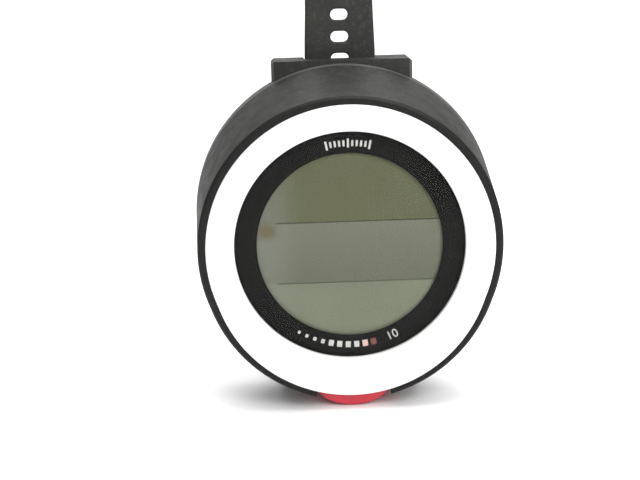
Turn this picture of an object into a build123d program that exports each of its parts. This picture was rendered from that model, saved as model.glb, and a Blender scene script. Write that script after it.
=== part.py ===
from build123d import *
from math import cos, degrees, pi, radians, sin
import os

# Wrist dive computer, standing on its 6 o'clock edge with its face to the front.
# Every function works in the case frame, in millimetres: X to the wearer's right
# as seen from the front, Y into the case, away from the viewer, and Z up. Its
# origin is the centre of the white bezel ring on the plane of the ring's crest.
# placed() then moves each piece to the part's own frame, whose origin lies on
# the ground under the middle of the whole part.

# Bezel ring and window
ring_radius = 38.95
ring_crest = 0.8
dish_width = 6.75
ring_bore = ring_radius - ring_crest - dish_width
ring_depth = 2.6
ring_edge = 0.45
dish_depth = 3.7
dish_wall = 1.4
tab_drop = 2.0
tab_half_angle = 68.0
ring_fit = 0.1
glass_gap = 0.2
glass_sink = 0.1
glass_thickness = 2.0
glass_edge = 0.2
mask_thickness = 0.15
mask_width = 6.1
window_radius = ring_bore - mask_width
seal_thickness = 0.45
seal_width = 2.8

# Case
lip_width = 2.15
lip_front = 0.3
lip_bevel = 0.6
chin_drop = 1.5
chin_depth = 10.6
chin_draft = 3.0
chin_open = 1.6
tail_flare = 1.25
tail_rise = 5.3
lip_radius = ring_radius + lip_width
tail_radius = lip_radius + tail_flare
back_round = 2.4
back_edge = 3.2
back_wall = 3.2
seam_gap = 2.5
wall = 3.2
flange_wall = 2.2
spigot_depth = 2.0
spigot_gap = 0.12
spigot_wall = 2.4

# Display stack
lcd_overlap = 2.1
lcd_radius = window_radius + lcd_overlap
lcd_thickness = 1.7
lcd_gap = 0.55
foam_width = 1.5
backlight_inset = 3.0
backlight_radius = lcd_radius - backlight_inset
backlight_thickness = 2.0
backlight_gap = 0.1
carrier_edge = 0.2
carrier_floor = 1.2
carrier_gap = 0.3
carrier_play = 0.15
zebra_length = 12.0
zebra_width = 1.5
zebra_inset = 1.3
zebra_reach = lcd_radius - zebra_inset
board_inset = 8.7
board_radius = lip_radius - board_inset
carrier_radius = board_radius + carrier_edge
board_gap = 4.0
board_thickness = 1.6
board_screw_inset = 2.8
board_screw_x = board_radius - board_screw_inset
board_screw_z = 8.0
board_post_radius = 2.2

# Screws
small_screw_radius = 0.8
small_head_radius = 1.5
small_head_height = 0.9
small_screw_bite = 2.0
case_screw_radius = 1.1
case_head_radius = 2.1
case_head_height = 1.5
case_screw_bite = 7.0
case_screw_inset = 7.45
case_screw_circle = tail_radius - case_screw_inset
case_screw_angle = 45.0
pillar_radius = 2.9
pillar_gap = 0.5
screw_play = 0.15
socket_width = 1.5
socket_depth = 0.8
screw_sunk = 0.3

# Main seal between the two halves of the case
case_seal_width = 1.2
case_seal_height = 1.1
case_seal_play = 0.05

# Button at 6 o'clock
button_drop = 4.05
button_radius = ring_radius + tab_drop + button_drop
button_width = 20.4
button_front_gap = 0.3
button_length = 16.8
button_corner = 3.0
button_edge = 0.9
button_arch = 15.0
button_travel = 1.2
button_stop = 0.2
button_side_gap = 0.35
button_height = 5.2
button_top = button_radius - button_height
collar_wall = 1.9
button_bare = 4.0
collar_reach = button_radius - button_bare
collar_corner = 4.5
collar_start = 6.0
spring_seat_radius = 3.3
spring_seat_depth = 2.4
spring_wire = 0.5
spring_radius = 2.4
spring_turns = 3.5
stem_radius = 1.5
stem_play = 0.06
stem_anchor = 1.0
stem_boss_radius = 4.2
stem_boss_height = 6.4
stem_boss_end = button_top - stem_boss_height
stem_groove_radius = 1.0
stem_groove_inset = 1.5
stem_groove_start = stem_boss_end + stem_groove_inset
stem_groove_width = 1.3
clip_radius = 2.5
clip_thickness = 0.6
clip_gap = 0.1
clip_neck = 1.05
stem_reach = 1.9
stem_end = stem_boss_end - stem_reach
switch_width = 6.4
switch_height = 3.8
switch_length = 4.6
plunger_radius = 1.1
plunger_length = 0.7
switch_gap = 0.05

# Battery, its cup and its cap
battery_radius = 12.25
battery_thickness = 5.0
battery_gap = 0.35
battery_step = 0.5
battery_step_in = 1.8
cup_wall = 1.6
cup_floor = 1.1
cup_board_gap = 2.05
contact_thickness = 0.3
contact_width = 4.0
contact_gap = 0.05
contact_play = 0.2
cap_rim = 1.8
cap_radius = battery_radius + battery_gap + cap_rim
cap_gap = 0.2
cap_thickness = 3.6
cap_edge = 0.4
cap_lug_reach = 1.1
cap_lug_height = 1.0
cap_lug_depth = 1.3
cap_lug_angle = 32.0
cap_lug_play = 0.15
coin_slot_margin = 4.4
coin_slot_width = 2.0
coin_slot_depth = 1.4
cap_seal_width = 0.8
cap_seal_place = 0.25
cap_seal_depth = 0.9
cap_seal_gap = 0.06

# Parts on the circuit board and on the inside of the back
recess_inset = 12.45
recess_radius = tail_radius - recess_inset
chip_height = 1.2
processor_size = 9.0
processor_x = -2.0
processor_z = 7.0
memory_width = 5.0
memory_length = 6.0
memory_x = 10.0
memory_z = -5.0
crystal_width = 2.0
crystal_length = 6.0
crystal_x = -10.0
crystal_z = -4.0
sensor_inset = 11.0
sensor_x = sensor_inset - recess_radius
sensor_z = -11.0
sensor_radius = 3.0
sensor_base = 7.0
sensor_base_height = 1.2
sensor_gap = 0.1
sensor_seal_height = 1.0
sensor_boss_height = 3.5
sensor_port_wall = 2.2
port_radius = 0.6
port_circle = 1.5
port_count = 3
buzzer_angle = 39.0
buzzer_gap = 0.6
buzzer_radius = 4.5
buzzer_thickness = 0.6
buzzer_pin_radius = 0.5
wet_pin_x = 7.0
wet_pin_inset = 8.0
wet_pin_z = wet_pin_inset - recess_radius
wet_pin_radius = 1.2
wet_head_radius = 2.0
wet_head_height = 0.8
wet_proud = 0.3

# Strap lugs and pins
lug_width = 39.4
lug_sunk = 1.5
lug_proud = 0.7
lug_top = tail_rise + tail_radius + lug_proud
lug_top_height = 13.0
lug_bottom_height = 10.4
lug_end_round = 2.0
lug_edge = 0.8
pin_behind = 5.8
pin_drop = 8.6
pin_lift = 3.8
pin_top_z = lug_top - pin_drop
pin_bottom_z = pin_lift - button_radius
pin_radius = 1.25
pin_recess = 0.5
pin_play = 0.07
cheek_back = 4.4
slot_gap = 0.3
slot_wall = 0.4

# Strap
strap_width = 20.0
strap_thickness = 3.0
strap_edge = 0.7
barrel_radius = 3.0
rise = 48.0
bend_radius = 26.0
drop = 14.0
slot_length = 5.2
slot_height = 3.2
slot_pitch = 6.2
first_slot = 8.2
last_slot_margin = 11.0
run_back = 21.0
curl_radius = 36.0
curl_angle = 30.0

# Buckle and keeper
buckle_pin_radius = 1.0
buckle_pin_play = 0.06
buckle_barrel_radius = 2.3
tongue_gap = 0.3
frame_gap = 0.4
frame_arm = 3.4
frame_height = 3.6
frame_window = 11.5
frame_bar = 3.2
frame_edge = 0.9
tongue_width = 3.8
tongue_thickness = 1.6
tongue_root_radius = 2.1
tongue_rest_gap = 0.3
tongue_overhang = 0.6
keeper_length = 7.0
keeper_wall = 1.5
keeper_gap = 0.3
keeper_room = 4.4
keeper_corner = 1.2
keeper_place = 13.0

# Depths that follow from the stack, front to back
glass_y = dish_depth + glass_sink
mask_y = glass_y + glass_thickness
seal_y = mask_y + mask_thickness
ledge_y = seal_y + seal_thickness
lcd_y = seal_y + lcd_gap
backlight_y = lcd_y + lcd_thickness + backlight_gap
carrier_y = backlight_y + backlight_thickness
flange_y = ledge_y + flange_wall
board_y = carrier_y + carrier_floor + board_gap
board_back_y = board_y + board_thickness
cup_y = board_back_y + cup_board_gap + cup_floor
battery_y = cup_y + contact_thickness
cap_y = battery_y + battery_thickness + contact_gap
back_y = cap_y + cap_thickness
tail_y = back_y - back_edge
seam_y = tail_y - seam_gap
recess_y = back_y - back_wall
lug_front = seam_y + lug_sunk
pin_y = back_y + pin_behind
dish_slope = dish_depth / (ring_radius - ring_crest - ring_bore)
seat_bore = ring_bore + ring_fit
ledge_bore = lcd_radius + backlight_gap + carrier_gap
glass_radius = ring_bore - glass_gap

# Heights and places of the button parts
button_y = ring_depth + button_front_gap + button_length / 2
pocket_z = -button_top + button_travel + button_stop
spring_floor_z = -button_top - spring_seat_depth
switch_z = -stem_end + button_travel + switch_gap

# Places of the battery parts
cup_radius = battery_radius + battery_gap
cap_bore = cap_radius + cap_gap
cap_lug_y = back_y - cap_lug_depth - cap_lug_height
cap_entry = (cap_radius + cap_lug_reach) * sin(radians(cap_lug_angle / 2)) + cap_lug_play

# The sounder's place, beside the battery cup
buzzer_reach = cap_bore + cup_wall + buzzer_gap + buzzer_radius
buzzer_x = buzzer_reach * cos(radians(buzzer_angle))
buzzer_z = tail_rise - buzzer_reach * sin(radians(buzzer_angle))

# Depths in the back half
case_head_y = back_y - case_head_height - screw_sunk
sensor_end_y = back_y - sensor_port_wall - sensor_seal_height
sensor_boss_y = recess_y - sensor_boss_height

# The whole part, for its place on the ground
reach = pin_y + 2 * bend_radius + strap_thickness / 2
run_y = pin_y + run_back
buckle_y = run_y + curl_radius * sin(radians(curl_angle))
buckle_z = pin_bottom_z + curl_radius * (1 - cos(radians(curl_angle)))


def placed(shape):
    """The piece in the part's own frame, standing on the ground."""
    return Pos(0, -reach / 2, button_radius) * shape


def disc(radius, front, back, x=0, z=0):
    """A round plate across the case's axis, between two depths."""
    return Pos(x, (front + back) / 2, z) * Rot(90, 0, 0) * Cylinder(radius, back - front)


def washer(outer, inner, front, back, x=0, z=0):
    """A flat ring across the case's axis, between two depths."""
    return disc(outer, front, back, x, z) - disc(inner, front - 1, back + 1, x, z)


def turned(points):
    """A solid turned round the case's axis from (radius, depth) points."""
    return revolve(make_face(Polyline(*points, close=True)), Axis.Y)


def case_radius(y):
    """The case's outer radius at a depth: it widens evenly to the back."""
    return lip_radius + (tail_radius - lip_radius) * (y - lip_front) / (tail_y - lip_front)


def case_rise(y):
    """How far the case's centre has moved up at a depth."""
    return tail_rise * (y - lip_front) / (tail_y - lip_front)


def case_slice(y, inset):
    """A round section of the case at a depth, drawn in from its outside by an inset."""
    place = Plane(origin=(0, y, case_rise(y)), x_dir=(1, 0, 0), z_dir=(0, 1, 0))
    return place * Circle(case_radius(y) - inset)


def case_length(front, back, inset=0):
    """The tapered, leaning body of the case between two depths."""
    return loft([case_slice(front, inset), case_slice(back, inset)], ruled=True)


def tab_place(circle, low):
    """How far down the tab's own smaller circle lies, for it to meet the circle at the half angle."""
    return (low**2 - circle**2) / (2 * (low - circle * cos(radians(tab_half_angle))))


def ring_block(front, back, grow=0):
    """The ring's outline, a circle with a lower tab, as a block between two depths."""
    low = ring_radius + tab_drop
    shift = tab_place(ring_radius, low)
    outline = Circle(ring_radius + grow) + Pos(0, -shift) * Circle(low - shift + grow)
    return Pos(0, back, 0) * extrude(Plane.XZ * outline, back - front)


def chin():
    """The lower front of the case, which follows the ring's tab and runs out into the case behind it."""
    low = lip_radius + chin_drop
    shift = tab_place(lip_radius, low)
    slices = []
    for depth, inset in ((0, lip_bevel), (lip_bevel, 0), (chin_depth, chin_draft)):
        place = Plane(origin=(0, lip_front + depth, -shift), x_dir=(1, 0, 0), z_dir=(0, 1, 0))
        slices.append(place * Circle(low - shift - inset))
    return loft(slices, ruled=True)


def bezel_ring():
    """The white ring: a flat-backed rim with a lower tab, and a dish that runs in to the glass."""
    rim_bore = ring_radius - ring_crest
    rim = ring_block(0, ring_depth)
    front = rim.faces().sort_by(Axis.Y)[0]
    rim = chamfer(front.edges(), ring_edge)
    rim -= disc(rim_bore, -1, ring_depth + 1)
    foot = dish_depth + dish_wall
    inner = ring_bore + (foot - ring_depth) / dish_slope
    dish = turned(
        [
            (rim_bore, 0),
            (ring_bore, dish_depth),
            (ring_bore, foot),
            (inner, ring_depth),
            (rim_bore, ring_depth),
        ]
    )
    return rim + dish


def pillar_places(radius=case_screw_circle):
    """The four places of the case screws, round the case's centre at the seam."""
    middle = case_rise(seam_y)
    reach_x = radius * cos(radians(case_screw_angle))
    reach_z = radius * sin(radians(case_screw_angle))
    return [(x, middle + z) for x in (-reach_x, reach_x) for z in (-reach_z, reach_z)]


def board_screw_places():
    """The four places of the screws through the circuit board."""
    return [(x, z) for x in (-board_screw_x, board_screw_x) for z in (-board_screw_z, board_screw_z)]


def button_block(grow, corner, low, high):
    """The button's outline seen from below, as an upright block between two heights."""
    face = RectangleRounded(button_width + 2 * grow, button_length + 2 * grow, corner)
    return Pos(0, button_y, low) * extrude(face, high - low)


def seal_groove():
    """The ring-shaped groove in the back edge of the case body, for the main seal."""
    middle = case_radius(seam_y) - wall / 2
    half = case_seal_width / 2 + case_seal_play
    rise_here = case_rise(seam_y)
    return washer(middle + half, middle - half, seam_y - case_seal_height, seam_y, z=rise_here)


def post(radius, low, high, x=0, y=0):
    """An upright round bar between two heights."""
    return Pos(x, y, (low + high) / 2) * Cylinder(radius, high - low)


def rod(radius, left, right, y, z):
    """A round bar from side to side, between two places along X."""
    return Pos((left + right) / 2, y, z) * Rot(0, 90, 0) * Cylinder(radius, right - left)


def slab(x_low, x_high, y_low, y_high, z_low, z_high):
    """A plain block between two corners."""
    middle = Pos((x_low + x_high) / 2, (y_low + y_high) / 2, (z_low + z_high) / 2)
    return middle * Box(x_high - x_low, y_high - y_low, z_high - z_low)


def case_body():
    """The front half of the case: a deep tapered shell that holds the glass, display and button."""
    lip = loft([case_slice(lip_front, lip_bevel), case_slice(lip_front + lip_bevel, 0)], ruled=True)
    body = lip + case_length(lip_front + lip_bevel, seam_y) + chin()
    opening = chin_open - ring_radius - tab_drop
    body -= slab(-button_width / 2, button_width / 2, 0, button_y, 2 * opening, opening)
    collar = button_block(collar_wall, collar_corner, -collar_reach, -stem_boss_end)
    body += collar & disc(2 * collar_reach, collar_start, seam_y)
    body -= case_length(flange_y, seam_y + 1, wall)
    for x, z in pillar_places():
        body += disc(pillar_radius, flange_y, seam_y, x, z) & case_length(flange_y, seam_y)
    body += post(stem_boss_radius, pocket_z, -stem_boss_end, y=button_y)
    foot = dish_depth + dish_wall
    inner = ring_bore + (foot - ring_depth) / dish_slope
    rim_bore = ring_radius + ring_fit
    body -= turned(
        [
            (0, -1),
            (rim_bore, -1),
            (rim_bore, ring_depth),
            (inner + ring_fit, ring_depth),
            (seat_bore, foot),
            (seat_bore, ledge_y),
            (ledge_bore, ledge_y),
            (ledge_bore, flange_y + 1),
            (0, flange_y + 1),
        ]
    )
    body -= ring_block(-1, ring_depth, ring_fit)
    pocket_corner = button_corner + button_side_gap
    body -= button_block(button_side_gap, pocket_corner, -button_radius - 1, pocket_z)
    body -= post(stem_radius + stem_play, pocket_z - 1, -stem_boss_end + 1, y=button_y)
    for x, z in pillar_places():
        body -= disc(case_screw_radius, seam_y - case_screw_bite, seam_y + 1, x, z)
    for x, z in board_screw_places():
        body -= disc(small_screw_radius, flange_y - small_screw_bite, flange_y + 1, x, z)
    return body - seal_groove()


def lens():
    """The flat glass over the display."""
    glass = disc(glass_radius, glass_y, mask_y)
    return chamfer(glass.edges().sort_by(Axis.Y)[0], glass_edge)


def dial_mask():
    """The black film behind the glass, with the round window in it."""
    return washer(glass_radius, window_radius, mask_y, seal_y)


def lens_seal():
    """The flat gasket that the glass is bedded on."""
    return washer(glass_radius, glass_radius - seal_width, seal_y, ledge_y)


def lcd_foam():
    """The thin foam ring between the mask and the display cell."""
    return washer(lcd_radius, lcd_radius - foam_width, seal_y, lcd_y)


def lcd_panel():
    """The round liquid crystal cell."""
    return disc(lcd_radius, lcd_y, lcd_y + lcd_thickness)


def backlight():
    """The light guide behind the display cell."""
    return disc(backlight_radius, backlight_y, carrier_y)


def connector_strip(side, grow=0):
    """One rubber connector strip between the display cell and the circuit board."""
    half = zebra_width / 2 + grow
    low, high = side * zebra_reach - half, side * zebra_reach + half
    length = zebra_length / 2 + grow
    return slab(low, high, lcd_y + lcd_thickness, board_y, -length, length)


def display_connectors():
    """Both connector strips."""
    return [connector_strip(-1), connector_strip(1)]


def display_carrier():
    """The frame that holds the display cell and the backlight, and spaces the circuit board."""
    bore = backlight_radius + carrier_gap
    carrier = disc(carrier_radius, flange_y, carrier_y + carrier_floor)
    carrier += disc(ledge_bore - carrier_gap, lcd_y + lcd_thickness, flange_y)
    carrier -= disc(bore, lcd_y, carrier_y)
    for x, z in board_screw_places():
        carrier += disc(board_post_radius, flange_y, board_y, x, z)
    for x, z in board_screw_places():
        carrier -= disc(small_screw_radius + screw_play, 0, board_y + 1, x, z)
    for x, z in pillar_places():
        carrier -= disc(pillar_radius + pillar_gap, 0, seam_y, x, z)
    for side in (-1, 1):
        carrier -= connector_strip(side, carrier_play)
    half = switch_width / 2 + carrier_gap
    high = switch_z + plunger_length + switch_length + carrier_gap
    return carrier - slab(-half, half, 0, board_y, -2 * carrier_radius, high)


def circuit_board():
    """The round circuit board, notched round the case's pillars."""
    board = disc(board_radius, board_y, board_back_y)
    for x, z in pillar_places():
        board -= disc(pillar_radius + pillar_gap, 0, seam_y, x, z)
    for x, z in board_screw_places():
        board -= disc(small_screw_radius + screw_play, 0, seam_y, x, z)
    return board


def chip(width, length, x, z):
    """One soldered part on the back of the circuit board."""
    half_x, half_z = width / 2, length / 2
    return slab(x - half_x, x + half_x, board_back_y, board_back_y + chip_height, z - half_z, z + half_z)


def board_chips():
    """The processor, the memory and the timing crystal."""
    processor = chip(processor_size, processor_size, processor_x, processor_z)
    memory = chip(memory_width, memory_length, memory_x, memory_z)
    crystal = chip(crystal_width, crystal_length, crystal_x, crystal_z)
    return [processor, memory, crystal]


def board_screws():
    """The four screws that hold the board and the carrier to the case's flange."""
    screws = []
    for x, z in board_screw_places():
        shank = disc(small_screw_radius, flange_y - small_screw_bite, board_back_y, x, z)
        screws.append(shank + disc(small_head_radius, board_back_y, board_back_y + small_head_height, x, z))
    return screws


def button_switch():
    """The side-acting switch on the circuit board, with its plunger over the button's stem."""
    front = button_y - switch_height / 2
    low = switch_z + plunger_length
    half = switch_width / 2
    housing = slab(-half, half, front, board_y, low, low + switch_length)
    return housing + post(plunger_radius, switch_z, low, y=button_y)


def button_cap():
    """The red button: a block with a rounded foot, hollowed for its spring and stem."""
    block = button_block(0, button_corner, -button_radius - button_edge, -button_top)
    cap = block & disc(button_arch, 0, seam_y, z=button_arch - button_radius)
    cap = chamfer(cap.faces().sort_by(Axis.Z)[0].edges(), button_edge)
    cap -= post(spring_seat_radius, spring_floor_z, -button_top + 1, y=button_y)
    return cap - post(stem_radius, spring_floor_z - stem_anchor, spring_floor_z + 1, y=button_y)


def button_stem():
    """The steel stem that is pressed into the button and runs through the case wall."""
    stem = post(stem_radius, spring_floor_z - stem_anchor, -stem_end, y=button_y)
    low = -stem_groove_start - stem_groove_width
    groove = post(2 * stem_radius, low, -stem_groove_start, y=button_y)
    stem -= groove - post(stem_groove_radius, low, -stem_groove_start, y=button_y)
    clip_z = -stem_boss_end + clip_gap
    neck = post(2 * stem_radius, clip_z, clip_z + clip_thickness, y=button_y)
    return stem - (neck - post(clip_neck, clip_z, clip_z + clip_thickness, y=button_y))


def button_o_ring():
    """The seal ring in the stem's groove."""
    low = -stem_groove_start - stem_groove_width
    ring = post(stem_radius + stem_play / 2, low, -stem_groove_start, y=button_y)
    return ring - post(stem_groove_radius, low - 1, -stem_groove_start + 1, y=button_y)


def button_clip():
    """The retaining clip that keeps the stem in the case."""
    low = -stem_boss_end + clip_gap
    clip = post(clip_radius, low, low + clip_thickness, y=button_y)
    clip -= post(clip_neck, low - 1, low + clip_thickness + 1, y=button_y)
    return clip - slab(-clip_neck, clip_neck, button_y, button_y + 2 * clip_radius, low - 1, low + 1)


def button_spring():
    """The coil spring between the button and the case wall."""
    low = spring_floor_z + spring_wire / 2
    height = pocket_z - spring_wire / 2 - low
    path = Helix(height / spring_turns, height, spring_radius)
    start = Plane(path @ 0, z_dir=path % 0)
    return Pos(0, button_y, low) * sweep(start * Circle(spring_wire / 2), path)


def lug(top, height, pin_z):
    """One lug block: a wide bridge behind the case with a slot for the strap between two cheeks."""
    back = pin_y + cheek_back
    block = slab(-lug_width / 2, lug_width / 2, lug_front, back, top - height, top)
    ends = block.edges().filter_by(Axis.X).sort_by(Axis.Y)[-2:]
    block = fillet(ends, lug_end_round)
    sides = block.faces().filter_by(Axis.X).sort_by(Axis.X)
    block = chamfer(sides[0].edges() + sides[-1].edges(), lug_edge)
    half = strap_width / 2 + slot_gap
    front = pin_y - barrel_radius - slot_wall
    block -= slab(-half, half, front, back + 1, top - height - 1, top + 1)
    return block - rod(pin_radius, -lug_width, lug_width, pin_y, pin_z)


def case_back():
    """The back half of the case: the cover with the strap lugs, battery cup and sensor socket."""
    plate = disc(tail_radius, tail_y, back_y, z=tail_rise)
    plate = fillet(plate.edges().sort_by(Axis.Y)[-1], back_round)
    cover = plate + case_length(seam_y, tail_y)
    cover += lug(lug_top, lug_top_height, pin_top_z)
    cover += lug(lug_bottom_height - button_radius, lug_bottom_height, pin_bottom_z)
    outer = wall + spigot_gap
    spigot = case_length(seam_y - spigot_depth, seam_y, outer)
    spigot -= case_length(seam_y - spigot_depth, seam_y, outer + spigot_wall)
    for x, z in pillar_places():
        spigot -= disc(pillar_radius + pillar_gap, 0, seam_y, x, z)
    cover += spigot
    cover -= disc(recess_radius, seam_y - 1, recess_y, z=case_rise(seam_y))
    cover += disc(cap_bore + cup_wall, cup_y - cup_floor, recess_y, z=tail_rise)
    cover += disc(sensor_radius + sensor_gap + cup_wall, sensor_boss_y, recess_y, sensor_x, sensor_z)
    cover -= disc(cup_radius, cup_y, back_y, z=tail_rise)
    cover -= disc(cap_bore, cap_y, back_y + 1, z=tail_rise)
    cover -= cap_lug_ring(cap_lug_play)
    entry = disc(cap_radius + cap_lug_reach + cap_lug_play, cap_lug_y, back_y + 1, z=tail_rise)
    cover -= entry & slab(-cap_entry, cap_entry, cap_lug_y, back_y + 1, -tail_radius, 2 * tail_radius)
    for x, z in pillar_places():
        cover -= disc(case_screw_radius + screw_play, seam_y - 1, back_y + 1, x, z)
        cover -= disc(case_head_radius + screw_play, case_head_y, back_y + 1, x, z)
    socket_end = sensor_end_y + sensor_seal_height
    cover -= disc(sensor_radius + sensor_gap, sensor_boss_y - 1, socket_end, sensor_x, sensor_z)
    for number in range(port_count):
        turn = 2 * pi * number / port_count
        x = sensor_x + port_circle * sin(turn)
        z = sensor_z + port_circle * cos(turn)
        cover -= disc(port_radius, sensor_end_y, back_y + 1, x, z)
    for side in (-1, 1):
        cover -= disc(wet_pin_radius, recess_y - 1, back_y + 1, side * wet_pin_x, wet_pin_z)
        seat = back_y + wet_proud - wet_head_height
        cover -= disc(wet_head_radius, seat, back_y + 1, side * wet_pin_x, wet_pin_z)
    for slot in (minus_leg(contact_play), plus_strip(contact_play)):
        cover -= slot
    return cover


def cap_lug_ring(grow=0):
    """The ring that the battery cap's two lugs sweep as it is turned."""
    radius = cap_radius + cap_lug_reach + grow
    return washer(radius, cap_radius - 1, cap_lug_y - grow, cap_lug_y + cap_lug_height + grow, z=tail_rise)


def case_seal():
    """The main seal ring in the groove of the case body."""
    middle = case_radius(seam_y) - wall / 2
    half = case_seal_width / 2
    return washer(middle + half, middle - half, seam_y - case_seal_height, seam_y, z=case_rise(seam_y))


def case_screws():
    """The four screws that hold the back on, sunk below its face."""
    screws = []
    for x, z in pillar_places():
        screw = disc(case_screw_radius, seam_y - case_screw_bite, case_head_y, x, z)
        screw += disc(case_head_radius, case_head_y, case_head_y + case_head_height, x, z)
        socket = Pos(x, case_head_y + case_head_height, z) * Rot(90, 0, 0)
        socket *= extrude(RegularPolygon(socket_width / 2, 6), socket_depth)
        screws.append(screw - socket)
    return screws


def battery():
    """The coin cell: a wide can with a smaller pole face towards the circuit board."""
    can = disc(battery_radius, battery_y + battery_step, cap_y - contact_gap, z=tail_rise)
    return can + disc(battery_radius - battery_step_in, battery_y, battery_y + battery_step, z=tail_rise)


def minus_leg(grow=0):
    """The leg of the lower contact, which passes through the cup's floor to the circuit board."""
    low = battery_radius / 2 - grow
    high = low + contact_thickness + 2 * grow
    half = contact_width / 2 + grow
    return slab(low, high, board_back_y, cup_y, tail_rise - half, tail_rise + half)


def battery_contact_minus():
    """The flat spring contact on the floor of the battery cup."""
    edge = battery_radius / 2 + contact_thickness
    half = contact_width / 2
    strip = slab(-edge, edge, cup_y, cup_y + contact_thickness, tail_rise - half, tail_rise + half)
    return strip + minus_leg()


def plus_strip(grow=0):
    """The side contact, which lies in a slot in the battery cup's wall."""
    low = tail_rise + battery_radius + contact_gap - grow
    high = low + contact_thickness + 2 * grow
    half = contact_width / 2 + grow
    return slab(-half, half, board_back_y, cap_y - contact_gap, low, high)


def battery_contact_plus():
    """The strip that presses on the side of the coin cell."""
    return plus_strip()


def battery_cap():
    """The round battery cap, with two bayonet lugs, a seal groove and a coin slot."""
    cap = disc(cap_radius, cap_y, back_y, z=tail_rise)
    cap = chamfer(cap.edges().sort_by(Axis.Y)[-1], cap_edge)
    half = (cap_radius + cap_lug_reach) * sin(radians(cap_lug_angle / 2))
    band = slab(-tail_radius, tail_radius, cap_y, back_y, tail_rise - half, tail_rise + half)
    cap += cap_lug_ring() & band
    cap -= cap_groove(cap_radius + 1)
    long, wide = cap_radius - coin_slot_margin, coin_slot_width / 2
    return cap - slab(-long, long, back_y - coin_slot_depth, back_y + 1, tail_rise - wide, tail_rise + wide)


def cap_groove(outer):
    """The ring that the cap's seal fills, out to a given radius."""
    low = cap_y + cap_seal_place
    return washer(outer, cap_radius - cap_seal_depth, low, low + cap_seal_width, z=tail_rise)


def battery_cap_seal():
    """The seal ring round the battery cap."""
    return cap_groove(cap_bore - cap_seal_gap)


def pressure_sensor():
    """The depth sensor: a square base on the circuit board with a round steel nose."""
    half = sensor_base / 2
    foot_y = board_back_y + sensor_base_height
    foot = slab(sensor_x - half, sensor_x + half, board_back_y, foot_y, sensor_z - half, sensor_z + half)
    return foot + disc(sensor_radius, foot_y, sensor_end_y, sensor_x, sensor_z)


def sensor_seal():
    """The seal between the sensor's nose and its socket."""
    end = sensor_end_y + sensor_seal_height
    return washer(sensor_radius, port_circle + port_radius, sensor_end_y, end, sensor_x, sensor_z)


def buzzer():
    """The sounder disc on the inside of the back."""
    return disc(buzzer_radius, recess_y - buzzer_thickness, recess_y, buzzer_x, buzzer_z)


def buzzer_contacts():
    """The two contact pins from the circuit board to the sounder."""
    end = recess_y - buzzer_thickness
    places = (buzzer_x - buzzer_radius / 2, buzzer_x + buzzer_radius / 2)
    return [disc(buzzer_pin_radius, board_back_y, end, x, buzzer_z) for x in places]


def wet_contacts():
    """The two steel studs that sense water, through the back to the circuit board."""
    seat = back_y + wet_proud - wet_head_height
    studs = []
    for side in (-1, 1):
        stud = disc(wet_pin_radius, board_back_y, seat, side * wet_pin_x, wet_pin_z)
        head = disc(wet_head_radius, seat, back_y + wet_proud, side * wet_pin_x, wet_pin_z)
        studs.append(stud + head)
    return studs


def strap_pin(z):
    """One steel pin through a lug's cheeks."""
    half = lug_width / 2 - pin_recess
    return rod(pin_radius, -half, half, pin_y, z)


def strap_section(place):
    """The strap's section at the start of its path."""
    return place * RectangleRounded(strap_width, strap_thickness, strap_edge)


def strap_long():
    """The long half of the strap: up from the upper lug, over in a moulded bend and down to its tip."""
    top = pin_top_z + rise
    far_y = pin_y + 2 * bend_radius
    tip_z = top - drop
    up = Line((0, pin_y, pin_top_z), (0, pin_y, top))
    over = ThreePointArc((0, pin_y, top), (0, pin_y + bend_radius, top + bend_radius), (0, far_y, top))
    down = Line((0, far_y, top), (0, far_y, tip_z))
    place = Plane(origin=(0, pin_y, pin_top_z), x_dir=(1, 0, 0), z_dir=(0, 0, 1))
    strap = sweep(strap_section(place), Wire([up, over, down]))
    half = strap_width / 2
    corners = slab(-half, half, far_y - half, far_y + half, tip_z, tip_z + half)
    strap -= corners - disc(half, far_y - half, far_y + half, z=tip_z + half)
    strap += rod(barrel_radius, -half, half, pin_y, pin_top_z)
    strap -= rod(pin_radius + pin_play, -strap_width, strap_width, pin_y, pin_top_z)
    length = rise + pi * bend_radius + drop
    place = first_slot
    while place < length - last_slot_margin:
        strap -= strap_slot(place)
        place += slot_pitch
    return strap


def strap_slot(place):
    """The cutter of one oval slot, at a distance along the long strap from its pin."""
    top = pin_top_z + rise
    turn = min(max(place - rise, 0) / bend_radius, pi)
    past = max(place - rise - pi * bend_radius, 0)
    y = pin_y + bend_radius * (1 - cos(turn))
    z = min(pin_top_z + place, top) + bend_radius * sin(turn) - past
    oval = extrude(SlotOverall(slot_length, slot_height), 2 * strap_thickness, both=True)
    return Pos(0, y, z) * Rot(90 - degrees(turn), 0, 0) * oval


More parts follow.
